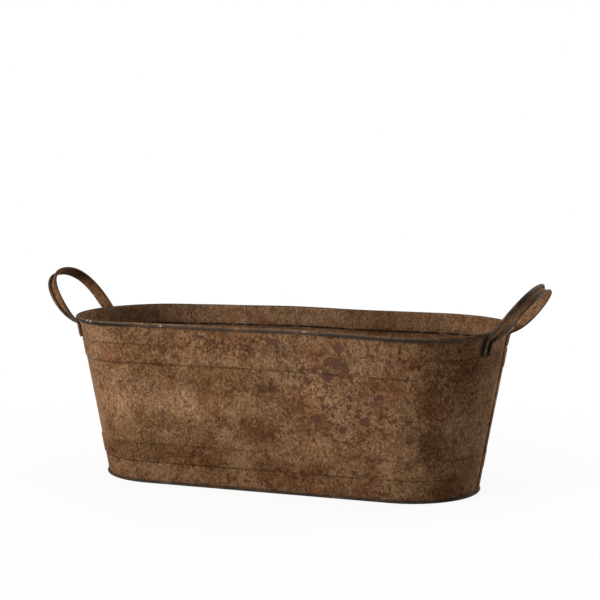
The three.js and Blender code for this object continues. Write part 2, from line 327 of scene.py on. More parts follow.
def pointHolder(name, places, fields):
    mesh = bpy.data.meshes.new(name)
    mesh.from_pydata(places, [], [])
    for field, values in fields.items():
        isVector = isinstance(values[0], Vector)
        attribute = mesh.attributes.new(field, "FLOAT_VECTOR" if isVector else "FLOAT", "POINT")
        flat = [part for v in values for part in v] if isVector else values
        attribute.data.foreach_set("vector" if isVector else "value", flat)
    return linkObject(name, mesh)


def evaluatedMesh(carrier):
    evaluated = carrier.evaluated_get(bpy.context.evaluated_depsgraph_get())
    return bpy.data.meshes.new_from_object(evaluated)


# runs a tree on an empty object and gives back its result as a plain mesh
def runTree(name, tree, inputs):
    carrier = linkObject(name, bpy.data.meshes.new(name))
    modifier = carrier.modifiers.new(name, "NODES")
    modifier.node_group = tree
    for item in tree.interface.items_tree:
        if item.in_out == "INPUT":
            modifier[item.identifier] = inputs[item.name]
    mesh = evaluatedMesh(carrier)
    carrier.modifiers.remove(modifier)
    bpy.data.objects.remove(carrier)
    return mesh


# caps open ends, keeps one material and turns the faces outwards
def closed(mesh):
    shape = bmesh.new()
    shape.from_mesh(mesh)
    bmesh.ops.holes_fill(shape, edges=[e for e in shape.edges if e.is_boundary])
    bmesh.ops.recalc_face_normals(shape, faces=shape.faces)
    for face in shape.faces:
        face.material_index = 0
    shape.to_mesh(mesh)
    shape.free()
    finish = mesh.materials[-1]
    mesh.materials.clear()
    mesh.materials.append(finish)
    return mesh


sweepTree = buildSweepTree()


def sweep(name, stations, section, material, dentDepth=0.0):
    fields = {way: [s[way] for s in stations] for way in stationWays}
    for share in stationShares:
        fields[share] = [s.get(share, 1.0) for s in stations]
    path = pointHolder(name + "Path", [s["core"] for s in stations], fields)
    marks = {mark: [p.get(mark, 0.0) for p in section] for mark in pointMarks}
    outline = pointHolder(name + "Section", [(p["x"], p["y"], 0) for p in section], marks)
    mesh = runTree(name, sweepTree, {
        "Path": path, "Section": outline, "Stations": len(stations), "Points": len(section),
        "Dent depth": dentDepth, "Dent size": dents["size"], "Dent detail": dents["detail"],
        "Seed": dents["seed"], "Join distance": joinDistance, "Finish": material,
    })
    for holder in (path, outline):
        bpy.data.objects.remove(holder)
    return closed(mesh)


# cuts and joins closed meshes, in the order given
def worked(name, mesh, steps):
    body = linkObject(name, mesh)
    tools = []
    for operation, tool in steps:
        tools.append(linkObject(name + operation, tool))
        modifier = body.modifiers.new(operation, "BOOLEAN")
        modifier.operation = operation
        modifier.solver = "EXACT"
        modifier.object = tools[-1]
    result = evaluatedMesh(body)
    for used in (body, *tools):
        bpy.data.objects.remove(used)
    return closed(result)


def addPiece(name, mesh, node):
    for vertex in mesh.vertices:
        vertex.co += warpShift(vertex.co)
    mesh.shade_smooth()
    mesh.set_sharp_from_angle(angle=sharpAngle)
    piece = linkObject(name, mesh)
    mesh.name = name
    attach(piece, "root")
    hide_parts(node)


# stations round the tub
stationSteps = dict(quarter=56, side=96)


def roundStation(x, angle):
    out = Vector((math.cos(angle), math.sin(angle), 0))
    offSeam = abs(math.remainder(angle, math.pi))
    bandShare = smoothStep(offSeam, bands["fadeStart"], bands["fadeEnd"])
    # the band-edge dirt and painted shade fade towards the right
    fadedDirtAndShade = (1 - bands["dirtAndShadeRight"]) * smoothStep(x, -bands["dirtAndShadeFadeX"], bands["dirtAndShadeFadeX"])
    return dict(
        core=Vector((x, 0, 0)), across=out, out=upAxis,
        bandShare=bandShare, dirtShare=bandShare * (1 - fadedDirtAndShade),
        sideSlack=smoothStep(offSeam, dents["endStart"], dents["endFull"]),
    )


# from the left end's middle along the front to the right end's middle
def frontStations(startAngle):
    half = math.pi / 2
    quarter, side = stationSteps["quarter"], stationSteps["side"]
    turns = [startAngle + (half - startAngle) * i / quarter for i in range(quarter)]
    left = [roundStation(-tub["halfSide"], math.pi + t) for t in turns]
    along = [roundStation(tub["halfSide"] * (2 * i / side - 1), 3 * half) for i in range(side + 1)]
    right = [roundStation(tub["halfSide"], 2 * math.pi - t) for t in reversed(turns)]
    return left + along + right


def moved(stations, matrix):
    return [dict(s, **{way: matrix @ s[way] for way in ("core", *stationWays)}) for s in stations]


# a value between listed ones, each given with its x in mm
def between(listed, x):
    for (x0, value0), (x1, value1) in zip(listed, listed[1:]):
        if x < x1 * mm:
            return value0 + (value1 - value0) * min(max((x / mm - x0) / (x1 - x0), 0), 1)
    return listed[-1][1]


def worn(stations):
    places = [s["core"] + s["across"] * tub["rimRadius"] for s in stations]
    shares = [between(tub["frontWear" if p.y < 0 else "rearWear"], p.x) for p in places]
    return [dict(s, wearShare=share) for s, share in zip(stations, shares)]


def loopStations():
    front = frontStations(0.0)
    return front + moved(front, halfTurn)[1:]


# marks on the wall by their look, each with its middle and its half sizes along x, y and z, in mm
frontMarks = dict(
    pale=dict(color="#86807a", edge=0.5, ragged=2.2, share=0.8, blend="DODGE", places=(
        ((-164, -84, 91), (22, 24, 16)), ((-71, -88, 92), (52, 20, 11)),
        ((54, -98, 147), (11, 16, 13)), ((64, -90, 101), (24, 18, 20)),
        ((-72, -99, 149), (16, 16, 12)), ((66, -81, 50), (13, 14, 13)),
    )),
    reddish=dict(color="#e0c9bf", edge=0.5, ragged=2.2, share=0.68, blend="MULTIPLY", places=(
        ((-164, -92, 140), (16, 20, 15)), ((44, -75, 11), (24, 14, 8)),
        ((140, -93, 118), (20, 16, 18)), ((178, -80, 107), (14, 18, 24)),
        ((165, -93, 146), (14, 16, 12)),
    )),
    olive=dict(color="#dad3be", edge=0.5, ragged=2.2, share=0.75, blend="MULTIPLY", places=(
        ((-124, -96, 134), (26, 18, 22)), ((-30, -94, 119), (28, 18, 19)),
        ((-115, -85, 69), (24, 18, 9)), ((206, -62, 120), (16, 22, 20)),
        ((206, -34, 29), (18, 26, 14)), ((213, -50, 100), (9, 16, 15)),
    )),
    shade=dict(color="#d6cabf", edge=0.45, ragged=2.2, share=0.9, blend="MULTIPLY", places=(
        ((8, -92, 113), (12, 14, 9)), ((-2, -85, 70), (24, 18, 14)),
        ((-92, -79, 34), (19, 14, 13)), ((-59, -78, 32), (21, 14, 12)),
        ((10, -78, 28), (20, 14, 13)), ((55, -77, 25), (18, 14, 9)),
        ((188, -54, 13), (16, 22, 7)), ((183, -79, 105), (15, 18, 24)),
    )),
    banded=dict(color="#cdc4b8", edge=0.2, ragged=0.5, share=0.55, blend="MULTIPLY", places=(
        ((-150, -72, 33.5), (60, 34, 11.5)), ((222, -40, 140.4), (26, 44, 11)),
    )),
    # painted light: the end seams lightened where they lie in shade
    rubbedAndSeamLight=dict(color="#a09890", edge=0.5, ragged=0.6, share=0.9, blend="DODGE", places=(
        ((235, -2, 90), (40, 7, 110)), ((-235, -2, 90), (40, 7, 110)),
    )),
    stain=dict(color="#8d8266", edge=0.5, ragged=1.8, share=0.7, blend="MULTIPLY", places=(
        ((177, -72, 62), (12, 16, 19)),
    )),
    dull=dict(color="#e6dfd7", edge=0.5, ragged=2.2, share=0.9, blend="MULTIPLY", places=(
        ((-95, -101, 160), (75, 14, 13)), ((190, -80, 155), (45, 50, 25)),
    )),
)
frontFlakes = dict(
    pepper=dict(color="#482f22", edge=0.5, ragged=1.0, share=0.85, spotted=True, height=0.05, places=(
        ((102, -90, 86), (56, 26, 46)), ((52, -97, 140), (30, 20, 18)),
        ((-70, -98, 155), (56, 20, 8)),
    )),
    flake=dict(color="#50362a", edge=0.08, ragged=1.7, share=0.86, height=0.08, places=(
        ((84, -98, 144), (10, 12, 6.5)), ((96, -98, 138), (4.5, 8, 7)),
        ((89, -101, 158), (5, 8, 6)), ((75, -95, 130), (6, 8, 7)),
        ((64, -96, 136), (4, 6, 3.5)), ((54, -94, 124), (5, 6, 4)),
        ((19, -101, 161), (7, 8, 4)), ((-63, -101, 164), (4.5, 6, 2.5)),
        ((33, -98, 148), (3, 6, 3)), ((62, -88, 84), (5.5, 6, 4.5)),
        ((90, -86, 74), (4.5, 6, 4.5)), ((113, -87, 84), (6, 6, 5.5)),
        ((130, -92, 110), (5, 6, 4)),
    )),
)
rimMarks = dict(
    browned=dict(color="#392a1e", edge=0.5, ragged=1.6, share=0.75, places=(
        ((205, -78, 174), (26, 26, 3.4)),
    )),
    # painted highlights: small bright glints on the rim's top
    glint=dict(color="#cfc4b8", edge=0.5, ragged=0.8, share=0.45, places=(
        ((-101, -106, 173.5), (1.4, 3, 1.2)), ((-196, -87, 173.5), (1.2, 3, 1.2)),
        ((-190, -92, 173), (1.2, 3, 1.2)), ((56, -105, 174), (2.4, 3, 0.9)),
    )),
)
# and on the left handle
strapMarks = dict(
    # painted shade on the left handle's grip, where the strap is turned away from the light
    gripShade=dict(color="#a0958a", edge=0.6, ragged=1.0, share=0.9, blend="MULTIPLY", places=(
        ((-264, 30, 218), (32, 45, 16)),
    )),
    handled=dict(color="#dccabf", edge=0.4, ragged=0.5, share=0.9, blend="MULTIPLY", places=(
        ((-255, 0, 190), (70, 120, 70)),
    )),
)
markNoises = dict(
    ragged=dict(size=9 * mm, detail=7.0, roughness=0.75),
    spots=dict(size=5.5 * mm, detail=4.0, roughness=0.6),
)
spotLimits = (0.55, 0.57)
wideDetail = 3.0


# lays a colour over another where the mask is high, and adds the height that it gives
def layOver(tree, color, relief, mask, look):
    mixed = {0: mask, 6: color, 7: hexColor(look["color"])}
    blend = look.get("blend", "MIX")
    color = addNode(tree, "ShaderNodeMix", mixed, data_type="RGBA", blend_type=blend)[2]
    if "height" in look:
        raised = {0: mask, 1: look["height"], 2: relief}
        relief = addNode(tree, "ShaderNodeMath", raised, operation="MULTIPLY_ADD")[0]
    return color, relief


# patterns all over, each laid where its noise is high
def paintLayers(tree, where, color, relief, layers, strength=1.0):
    for layer in layers:
        spread = {"Vector": where, "Scale": layer.get("squeeze", (1, 1, 1))}
        spread["Location"] = layer.get("shift", (0, 0, 0))
        spread = addNode(tree, "ShaderNodeMapping", spread)[0]
        pattern = {
            "Vector": spread, "Scale": 1 / layer["size"], "Detail": layer["detail"],
            "Roughness": layer.get("roughness", 0.6), "Distortion": layer.get("twist", 0.0),
        }
        pattern = addNode(tree, "ShaderNodeTexNoise", pattern)[0]
        if layer.get("lines"):  # thin crooked lines where the noise crosses its middle value
            pattern = {0: pattern, 1: noiseMiddle}
            pattern = addNode(tree, "ShaderNodeMath", pattern, operation="SUBTRACT")[0]
            pattern = addNode(tree, "ShaderNodeMath", {0: pattern}, operation="ABSOLUTE")[0]
        limits = {"Value": pattern, 1: layer["low"], 2: layer["high"], 3: 0.0, 4: layer["share"]}
        mask = addNode(tree, "ShaderNodeMapRange", limits, interpolation_type="SMOOTHSTEP")[0]
        if "within" in layer:
            size, low, high = layer["within"]
            wide = {"Vector": spread, "Scale": 1 / size, "Detail": wideDetail}
            wide = addNode(tree, "ShaderNodeTexNoise", wide)[0]
            wide = {"Value": wide, 1: low, 2: high}
            wide = addNode(tree, "ShaderNodeMapRange", wide, interpolation_type="SMOOTHSTEP")[0]
            mask = addNode(tree, "ShaderNodeMath", {0: mask, 1: wide}, operation="MULTIPLY")[0]
        mask = addNode(tree, "ShaderNodeMath", {0: mask, 1: strength}, operation="MULTIPLY")[0]
        color, relief = layOver(tree, color, relief, mask, layer)
    return color, relief


# the marks that sit at one place, with ragged outlines
def paintMarks(tree, where, color, relief, marks, strength=1.0):
    noises = {}
    for name, noise in markNoises.items():
        pattern = {"Vector": where, "Scale": 1 / noise["size"], "Detail": noise["detail"]}
        pattern["Roughness"] = noise["roughness"]
        noises[name] = addNode(tree, "ShaderNodeTexNoise", pattern)[0]
    spots = {"Value": noises["spots"], 1: spotLimits[0], 2: spotLimits[1]}
    spots = addNode(tree, "ShaderNodeMapRange", spots, interpolation_type="SMOOTHSTEP")[0]
    ragged = {0: noises["ragged"], 1: noiseMiddle}
    ragged = addNode(tree, "ShaderNodeMath", ragged, operation="SUBTRACT")[0]
    for look in marks.values():
        for place, size in look["places"]:
            inside = {"Vector": where, "Location": Vector(place) * mm, "Scale": Vector(size) * mm}
            inside = addNode(tree, "ShaderNodeMapping", inside, vector_type="TEXTURE")[0]
            far = addNode(tree, "ShaderNodeVectorMath", {0: inside}, operation="LENGTH")["Value"]
            far = {0: ragged, 1: 2 * look["ragged"], 2: far}
            far = addNode(tree, "ShaderNodeMath", far, operation="MULTIPLY_ADD")[0]
            limits = {"Value": far, 1: 1 - look["edge"], 2: 1 + look["edge"], 3: look["share"], 4: 0.0}
            mask = addNode(tree, "ShaderNodeMapRange", limits, interpolation_type="SMOOTHSTEP")[0]
            mask = addNode(tree, "ShaderNodeMath", {0: mask, 1: strength}, operation="MULTIPLY")[0]
            if "spotted" in look:
                mask = addNode(tree, "ShaderNodeMath", {0: mask, 1: spots}, operation="MULTIPLY")[0]
            color, relief = layOver(tree, color, relief, mask, look)
    return color, relief


def newMaterial(name):
    material = bpy.data.materials.new(name)
    material.use_nodes = True
    material.node_tree.nodes.clear()
    return material


# what both rusted steels share
oxide = dict(
    gritSqueeze=(1, 1, 0.75),
    grit=dict(size=2.1 * mm, detail=2.0, roughness=0.6, low=0.35, high=0.65),
    insideSpecks=0.4,  # smoother inside
    lowShade=(75 * mm, 15 * mm),  # painted shade: darker low down, where the light falls off towards the foot
    patch=dict(size=22 * mm, detail=6.0, roughness=0.7),
    bare=dict(rust=-2.2, low=-0.95, high=-0.35, ramp="SMOOTHSTEP"),  # where the rubbing outdoes the rust
    dark=dict(rust=-0.6, low=0.15, high=0.75, ramp="LINEAR"),  # the more it is rubbed
    dirtAndShade=dict(size=17 * mm, detail=4.0, roughness=0.65, low=0.36, high=0.62, most=0.9),
    dull=dict(low=0.3, high=0.7, least=0.78, most=0.94, bare=0.6),
    sheen=0.04,
    bareMetallic=0.04,
    bumpDepth=1 * mm,
)


# rusted mild steel: a matt oxide skin, mottled tan to red-brown, with flat dark flakes, dirt and painted
# shade in the corners, painted shade inside and low down, and dark bare metal where hands and soil have
# rubbed the rolled edges
def rustedSteel(name, look):
    material = newMaterial(name)
    tree = material.node_tree
    where = addNode(tree, "ShaderNodeTexCoord")["Object"]
    upright = {"Vector": where, "Scale": oxide["gritSqueeze"]}
    upright = addNode(tree, "ShaderNodeMapping", upright)[0]
    noises = {}
    for part, spread in (("grit", upright), ("patch", where), ("dirtAndShade", where)):
        noise = oxide[part]
        pattern = {"Vector": spread, "Scale": 1 / noise["size"], "Detail": noise["detail"]}
        pattern["Roughness"] = noise["roughness"]
        noises[part] = addNode(tree, "ShaderNodeTexNoise", pattern)[0]
    grain = noises["grit"]
    relief = addNode(tree, "ShaderNodeMath", {0: grain, 1: look["grit"]}, operation="MULTIPLY")[0]
    ground = {"Value": grain, 1: oxide["grit"]["low"], 2: oxide["grit"]["high"]}
    ground = addNode(tree, "ShaderNodeMapRange", ground)[0]
    ground = {0: ground, 6: hexColor(look["groundDark"]), 7: hexColor(look["ground"])}
    color = addNode(tree, "ShaderNodeMix", ground, data_type="RGBA")[2]
    color, relief = paintLayers(tree, where, color, relief, look["layers"])
    inside = addNode(tree, "ShaderNodeAttribute", attribute_name="inside")["Fac"]
    fewer = {"Value": inside, 3: 1.0, 4: oxide["insideSpecks"]}
    fewer = addNode(tree, "ShaderNodeMapRange", fewer)[0]
    color, relief = paintLayers(tree, where, color, relief, look["specks"], fewer)
    outside = addNode(tree, "ShaderNodeMath", {0: 1.0, 1: inside}, operation="SUBTRACT")[0]
    marked = where
    markShare = 1.0
    if look["bothSides"]:  # the rear has the same marks, turned half round
        rear = addNode(tree, "ShaderNodeSeparateXYZ", {0: where})["Y"]
        turned = addNode(tree, "ShaderNodeMath", {0: rear}, operation="SIGN")[0]
        turned = addNode(tree, "ShaderNodeMath", {0: turned, 1: -1.0}, operation="MULTIPLY")[0]
        turned = addNode(tree, "ShaderNodeCombineXYZ", {0: turned, 1: turned, 2: 1.0})[0]
        marked = {0: where, 1: turned}
        marked = addNode(tree, "ShaderNodeVectorMath", marked, operation="MULTIPLY")[0]
        markShare = outside
    color, relief = paintMarks(tree, marked, color, relief, look["marks"], markShare)
    # painted shade: darker low down, where the light falls off towards the foot
    height = addNode(tree, "ShaderNodeSeparateXYZ", {0: where})["Z"]
    lowShade = {"Value": height, 1: oxide["lowShade"][0], 2: oxide["lowShade"][1]}
    lowShade = addNode(tree, "ShaderNodeMapRange", lowShade)[0]
    # painted shade: the inner faces tinted darker, and redder on the straps
    for mask, tint in ((inside, look["insideShadeTint"]), (lowShade, look["lowShadeTint"])):
        color, relief = layOver(tree, color, relief, mask, dict(color=tint, blend="MULTIPLY"))
    color, relief = paintMarks(tree, marked, color, relief, look["flakes"], outside)

    rubbedAndSeamLight = addNode(tree, "ShaderNodeAttribute", attribute_name="edgeWear")["Fac"]
    shares = []
    for limits in (oxide["bare"], oxide["dark"]):
        share = {0: noises["patch"], 1: limits["rust"], 2: rubbedAndSeamLight}
        share = addNode(tree, "ShaderNodeMath", share, operation="MULTIPLY_ADD")[0]
        share = {"Value": share, 1: limits["low"], 2: limits["high"]}
        shares.append(addNode(tree, "ShaderNodeMapRange", share, interpolation_type=limits["ramp"])[0])
    bare, dark = shares
    metal = {0: dark, 6: hexColor(look["metal"]), 7: hexColor(look["metalDark"])}
    metal = addNode(tree, "ShaderNodeMix", metal, data_type="RGBA")[2]
    mixed = {0: bare, 6: color, 7: metal}
    color = addNode(tree, "ShaderNodeMix", mixed, data_type="RGBA")[2]
    color, relief = paintMarks(tree, where, color, relief, look["edgeMarks"])

    # dirt, and painted shade in the band corners, under the inner ledges and on the handle legs
    dirtAndShade = addNode(tree, "ShaderNodeAttribute", attribute_name="grime")["Fac"]
    patchy = {"Value": noises["dirtAndShade"], 1: oxide["dirtAndShade"]["low"], 2: oxide["dirtAndShade"]["high"]}
    patchy.update({3: look["dirtAndShadeLeast"], 4: oxide["dirtAndShade"]["most"]})
    patchy = addNode(tree, "ShaderNodeMapRange", patchy)[0]
    dirtAndShade = addNode(tree, "ShaderNodeMath", {0: dirtAndShade, 1: patchy}, operation="MULTIPLY")[0]
    color, relief = layOver(tree, color, relief, dirtAndShade, dict(color=look["dirtAndShade"]))

    dull = oxide["dull"]
    skin = {"Value": grain, 1: dull["low"], 2: dull["high"], 3: dull["least"], 4: dull["most"]}
    skin = addNode(tree, "ShaderNodeMapRange", skin)[0]
    skin = addNode(tree, "ShaderNodeMix", {0: bare, 2: skin, 3: dull["bare"]})[0]
    shine = {0: bare, 1: oxide["bareMetallic"]}
    shine = addNode(tree, "ShaderNodeMath", shine, operation="MULTIPLY")[0]
    bump = {"Strength": 1.0, "Distance": oxide["bumpDepth"], "Height": relief}
    bump = addNode(tree, "ShaderNodeBump", bump)[0]
    shader = {
        "Base Color": color, "Roughness": skin, "Metallic": shine, "Normal": bump,
        "Specular IOR Level": oxide["sheen"],
    }
    shader = addNode(tree, "ShaderNodeBsdfPrincipled", shader)
    addNode(tree, "ShaderNodeOutputMaterial", {"Surface": shader[0]})
    return material


wallLook = dict(
    ground="#8b6d50", groundDark="#5c422e", grit=0.14,
    marks=frontMarks, flakes=frontFlakes, edgeMarks=rimMarks,
    metal="#4d4138", metalDark="#1c1712", dirtAndShade="#20160e", dirtAndShadeLeast=0.15,
    insideShadeTint="#f6f3f5", lowShadeTint="#ece6e0", bothSides=True,
    layers=(
        dict(color="#e3cec3", size=40 * mm, detail=6.0, low=0.42, high=0.62, share=0.7, twist=0.5,
             blend="MULTIPLY"),
        dict(color="#d8d1c0", size=70 * mm, detail=5.0, low=0.48, high=0.64, share=0.7,
             shift=(0.3, 0.1, 0.0), blend="MULTIPLY"),
        dict(color="#c8b7aa", size=11 * mm, detail=5.0, low=0.48, high=0.62, share=0.65,
             shift=(0.1, 0.5, 0.3), blend="MULTIPLY"),
        dict(color="#463624", size=26 * mm, detail=4.0, low=0.56, high=0.74, share=0.4,
             squeeze=(1, 1, 0.25), within=(160 * mm, 0.45, 0.6)),
    ),
    specks=(
        dict(color="#9d7d60", size=2.4 * mm, detail=2.0, low=0.54, high=0.66, share=0.6,
             squeeze=(1, 1, 0.75), within=(20 * mm, 0.35, 0.58), shift=(0.2, 0.8, 0.5)),
        dict(color="#432c20", size=3 * mm, detail=2.0, low=0.56, high=0.65, share=0.65,
             squeeze=(1, 1, 0.8), within=(45 * mm, 0.36, 0.56), shift=(0.5, 0.4, 0.9)),
        dict(color="#482f22", size=6.5 * mm, detail=4.0, low=0.575, high=0.615, share=0.8,
             within=(60 * mm, 0.42, 0.54), shift=(0.7, 0.2, 0.4)),
        dict(color="#a38362", size=4.5 * mm, detail=1.0, low=0.05, high=0.0, share=0.35, lines=True,
             squeeze=(1, 1, 0.6), within=(30 * mm, 0.46, 0.6)),
        dict(color="#4d3327", size=30 * mm, detail=8.0, low=0.635, high=0.655, share=0.85, twist=1.0,
             height=0.08, roughness=0.7, within=(140 * mm, 0.42, 0.5)),
    ),
)
strapLook = dict(
    ground="#927050", groundDark="#60472f", grit=0.12,
    marks=strapMarks, flakes={}, edgeMarks={},
    metal="#4a4037", metalDark="#201b16", dirtAndShade="#1a100a", dirtAndShadeLeast=0.8,
    insideShadeTint="#dac4b6", lowShadeTint="#ffffff", bothSides=False,
    layers=(
        dict(color="#6d4b35", size=34 * mm, detail=5.0, low=0.44, high=0.6, share=0.6, twist=0.4),
    ),
    specks=(
        dict(color="#412a1a", size=4 * mm, detail=3.0, low=0.55, high=0.66, share=0.65),
        dict(color="#a58560", size=2.4 * mm, detail=1.0, low=0.57, high=0.7, share=0.4,
             shift=(0.4, 0.1, 0.2)),
    ),
)
wallRust = rustedSteel("rustedSheetSteel", wallLook)
strapRust = rustedSteel("rustedStrapSteel", strapLook)

wireLook = dict(streak=2 * mm, detail=4.0, dark="#2d2b29", pale="#5d5853", dull=(0.35, 0.6), metallic=0.85)


# drawn mild steel wire: dark mill skin with fine streaks, mostly hidden in the rolled edges
def drawnWire(name):
    material = newMaterial(name)
    tree = material.node_tree
    where = addNode(tree, "ShaderNodeTexCoord")["Object"]
    streak = {"Vector": where, "Scale": 1 / wireLook["streak"], "Detail": wireLook["detail"]}
    streak = addNode(tree, "ShaderNodeTexNoise", streak)[0]
    tint = {0: streak, 6: hexColor(wireLook["dark"]), 7: hexColor(wireLook["pale"])}
    tint = addNode(tree, "ShaderNodeMix", tint, data_type="RGBA")[2]
    dull = {"Value": streak, 3: wireLook["dull"][0], 4: wireLook["dull"][1]}
    dull = addNode(tree, "ShaderNodeMapRange", dull)[0]
    shader = {"Base Color": tint, "Roughness": dull, "Metallic": wireLook["metallic"]}
    shader = addNode(tree, "ShaderNodeBsdfPrincipled", shader)
    addNode(tree, "ShaderNodeOutputMaterial", {"Surface": shader[0]})
    return material


bareSteel = drawnWire("drawnSteelWire")
print("materials made")


# heights down the wall: even steps, with closer ones round the band edges
wallSteps = dict(even=3 * mm, nearEdge=(-2.6, -1.9, -1.2, -0.6, -0.2, 0.2, 0.6, 1.0, 1.4, 1.9, 2.6))


def wallHeights(top, bottom):
    close = []
    for centre in bands["centres"]:
        for side in (1, -1):
            edge = centre + side * bands["height"] / 2
            close += [edge - side * offset * mm for offset in wallSteps["nearEdge"]]
    count = round((top - bottom) / wallSteps["even"])
    even = [top + (bottom - top) * i / count for i in range(1, count + 1)]
    even = [z for z in even if min(abs(z - c) for c in close) > wallSteps["even"] / 3]
    return sorted(close + even, reverse=True)


def curlCentre():
    tangentZ = curlHeight + curlRadius * math.sin(wallLean)
    return wallRadius(tangentZ) + curlRadius * math.cos(wallLean), curlHeight


flangeEnd = wallRadius(flangeHeight) + tub["sheet"] / 2 + tub["flangeReach"]


def wallSection():
    start = math.pi - wallLean - tub["curlTurn"]
    middle = arcPoints(curlCentre(), curlRadius, start, tub["curlTurn"], tub["curlSteps"])
    for i, point in enumerate(middle):
        fromWall = tub["curlTurn"] * (1 - i / tub["curlSteps"])
        patchily = tub["wornInside"] * smoothStep(fromWall, *tub["insideTurns"])
        point["edgeWear"] = patchily + (1 - tub["wornInside"]) * smoothStep(fromWall, *tub["outsideTurns"])
    for z in wallHeights(middle[-1]["y"], flangeHeight):
        marks = dict(relief=bandRise(z), slack=dentShare(z), grime=bandDirtAndShade(z))
        middle.append(dict(x=wallRadius(z), y=z, **marks))
    middle.append(dict(x=flangeEnd, y=flangeHeight))
    outline = sheetOutline(middle, tub["sheet"])
    for point in outline[len(middle):2 * len(middle)]:
        if point["y"] < curlHeight:
            point["inside"] = 1.0
            # a painted shadow line, with some dirt, under each band's ledge on the inner face
            point["grime"] = ledgeShadowAndDirt(point["y"])
    return outline


# lock seam at each end, hammered flat: one panel's edge is folded back outwards, the other's is stepped
# out over it and folded back in
seam = dict(
    hook=5 * mm,
    pitch=0.5 * mm,
    thinning=0.25 * mm,
    endGap=2 * mm,
    rootOverlap=0.6 * mm,
    rampRun=1.6 * mm,
    foldSteps=10,
    heightSteps=20,
)
seamPitch = seam["pitch"]
hookSheet = tub["sheet"] - seam["thinning"]
rampTop = seam["hook"] / 2 + 1.5 * seamPitch
rampFoot = rampTop + seam["rampRun"]


# stations up the right end's middle, leaned with the wall
def seamStations(bottom, top):
    steps = seam["heightSteps"]
    heights = [bottom + (top - bottom) * i / steps for i in range(steps + 1)]
    cores = [Vector((tub["halfSide"] + wallRadius(z), 0, z)) for z in heights]
    return [dict(core=c, across=Vector((1, 0, 0)), out=Vector((0, 1, 0))) for c in cores]


def innerHook():
    fold = arcPoints((seamPitch, seam["hook"] / 2), seamPitch, math.pi, -math.pi, seam["foldSteps"])
    root = dict(x=0, y=-tub["gap"] / 2 - seam["rootOverlap"])
    tip = dict(x=2 * seamPitch, y=-seam["hook"] / 2)
    return sheetOutline([root, *fold, tip], hookSheet)


def outerHook():
    fold = arcPoints((2 * seamPitch, -seam["hook"] / 2), seamPitch, 0, -math.pi, seam["foldSteps"])
    corners = ((0, rampFoot + seam["rootOverlap"]), (0, rampFoot), (3 * seamPitch, rampTop))
    root = [dict(x=x, y=y) for x, y in corners]
    tip = dict(x=seamPitch, y=seam["hook"] / 2)
    return sheetOutline([*root, *fold, tip], hookSheet)


def seamNotch():
    reach = 4 * seamPitch
    corners = ((-reach, 0), (reach, 0), (reach, rampFoot), (-reach, rampFoot), (-reach, 0))
    return [dict(x=x, y=y) for x, y in corners]


def wallPanel(name, turn):
    low, high = footTop + seam["endGap"], beadBottom - seam["endGap"]
    hooks = moved(seamStations(low, high), turn)
    farHooks = moved(hooks, halfTurn)
    room = moved(seamStations(low - tub["gap"], high + tub["gap"]), halfTurn @ turn)
    path = worn(moved(frontStations(tub["gap"] / 2 / tub["rimRadius"]), turn))
    body = sweep(name, path, wallSection(), wallRust, dents["depth"])
    panel = worked(name, body, (
        ("UNION", sweep(name + "Inner", hooks, innerHook(), wallRust)),
        ("DIFFERENCE", sweep(name + "Room", room, seamNotch(), wallRust)),
        ("UNION", sweep(name + "Outer", farHooks, outerHook(), wallRust)),
    ))
    # the joining leaves stray marks on the hooks: no wear below the bead, no dirt and no painted shade on
    # the seam
    wear, dirtAndShade = panel.attributes["edgeWear"].data, panel.attributes["grime"].data
    for vertex in panel.vertices:
        if vertex.co.z < beadBottom:
            wear[vertex.index].value = 0
        if abs(vertex.co.y) < rampFoot:
            dirtAndShade[vertex.index].value = 0
    return panel


addPiece("front_wall_panel", wallPanel("frontPanel", unturned), "front_wall")
addPiece("rear_wall_panel", wallPanel("rearPanel", halfTurn), "rear_wall")
print("wall panels made")

wireSides = 16


def circleSection(centre, diameter):
    return arcPoints(centre, diameter / 2, 0, 2 * math.pi, wireSides)


rimWire = sweep("rimWire", loopStations(), circleSection(curlCentre(), tub["rimWire"]), bareSteel)
addPiece("wire_in_rim", rimWire, "rim_wire")


# flat base, its edge folded up and over the wall's foot flange
base = dict(flatSteps=12, foldSteps=16, wornReach=5 * mm, foldWear=0.78, lipWear=1.0)


def baseSection():
    innerFold = footFold - tub["sheet"]
    centre = (flangeEnd + tub["gap"] - innerFold, footFold)
    returnEnd = wallRadius(footTop) + tub["sheet"] / 2 + tub["gap"]
    half = math.pi / 2
    outer = arcPoints(centre, footFold, -half, math.pi, base["foldSteps"], edgeWear=base["foldWear"])
    inner = arcPoints(centre, innerFold, half, -math.pi, base["foldSteps"], edgeWear=base["lipWear"])
    lip = [dict(x=returnEnd, y=y, edgeWear=base["lipWear"]) for y in (footTop, footTop - tub["sheet"])]
    flat = [i / base["flatSteps"] * (centre[0] - base["wornReach"]) for i in range(base["flatSteps"] + 1)]
    under = [dict(x=x, y=0) for x in flat]
    above = [dict(x=x, y=tub["sheet"]) for x in reversed(flat)]
    return under + outer + lip + inner + above


addPiece("folded_base", sweep("base", loopStations(), baseSection(), wallRust), "base_plate")
print("base and rim wire made")

# strap handles: flat strap with both edges rolled outwards over wires
strap = dict(
    width=12.4 * mm,
    sheet=0.5 * mm,
    wire=1.8 * mm,
    gap=0.3 * mm,
    curlTurn=math.radians(285),
    curlSteps=18,
    webShares=(-0.85, -0.3, 0.3, 0.85),  # of the flat's half width, where its points lie
    worn=0.75,  # the rolled edge is rubbed bare in patches, its turns measured from the flat of the strap
    wornTurns=(math.radians(20), math.radians(75)),
    dirtAndShadeTurns=(math.radians(30), math.radians(80)),
    footAboveBand=0.5 * mm,
    bend=4 * mm,
    steps=dict(leg=8, bend=10, grip=48),
)
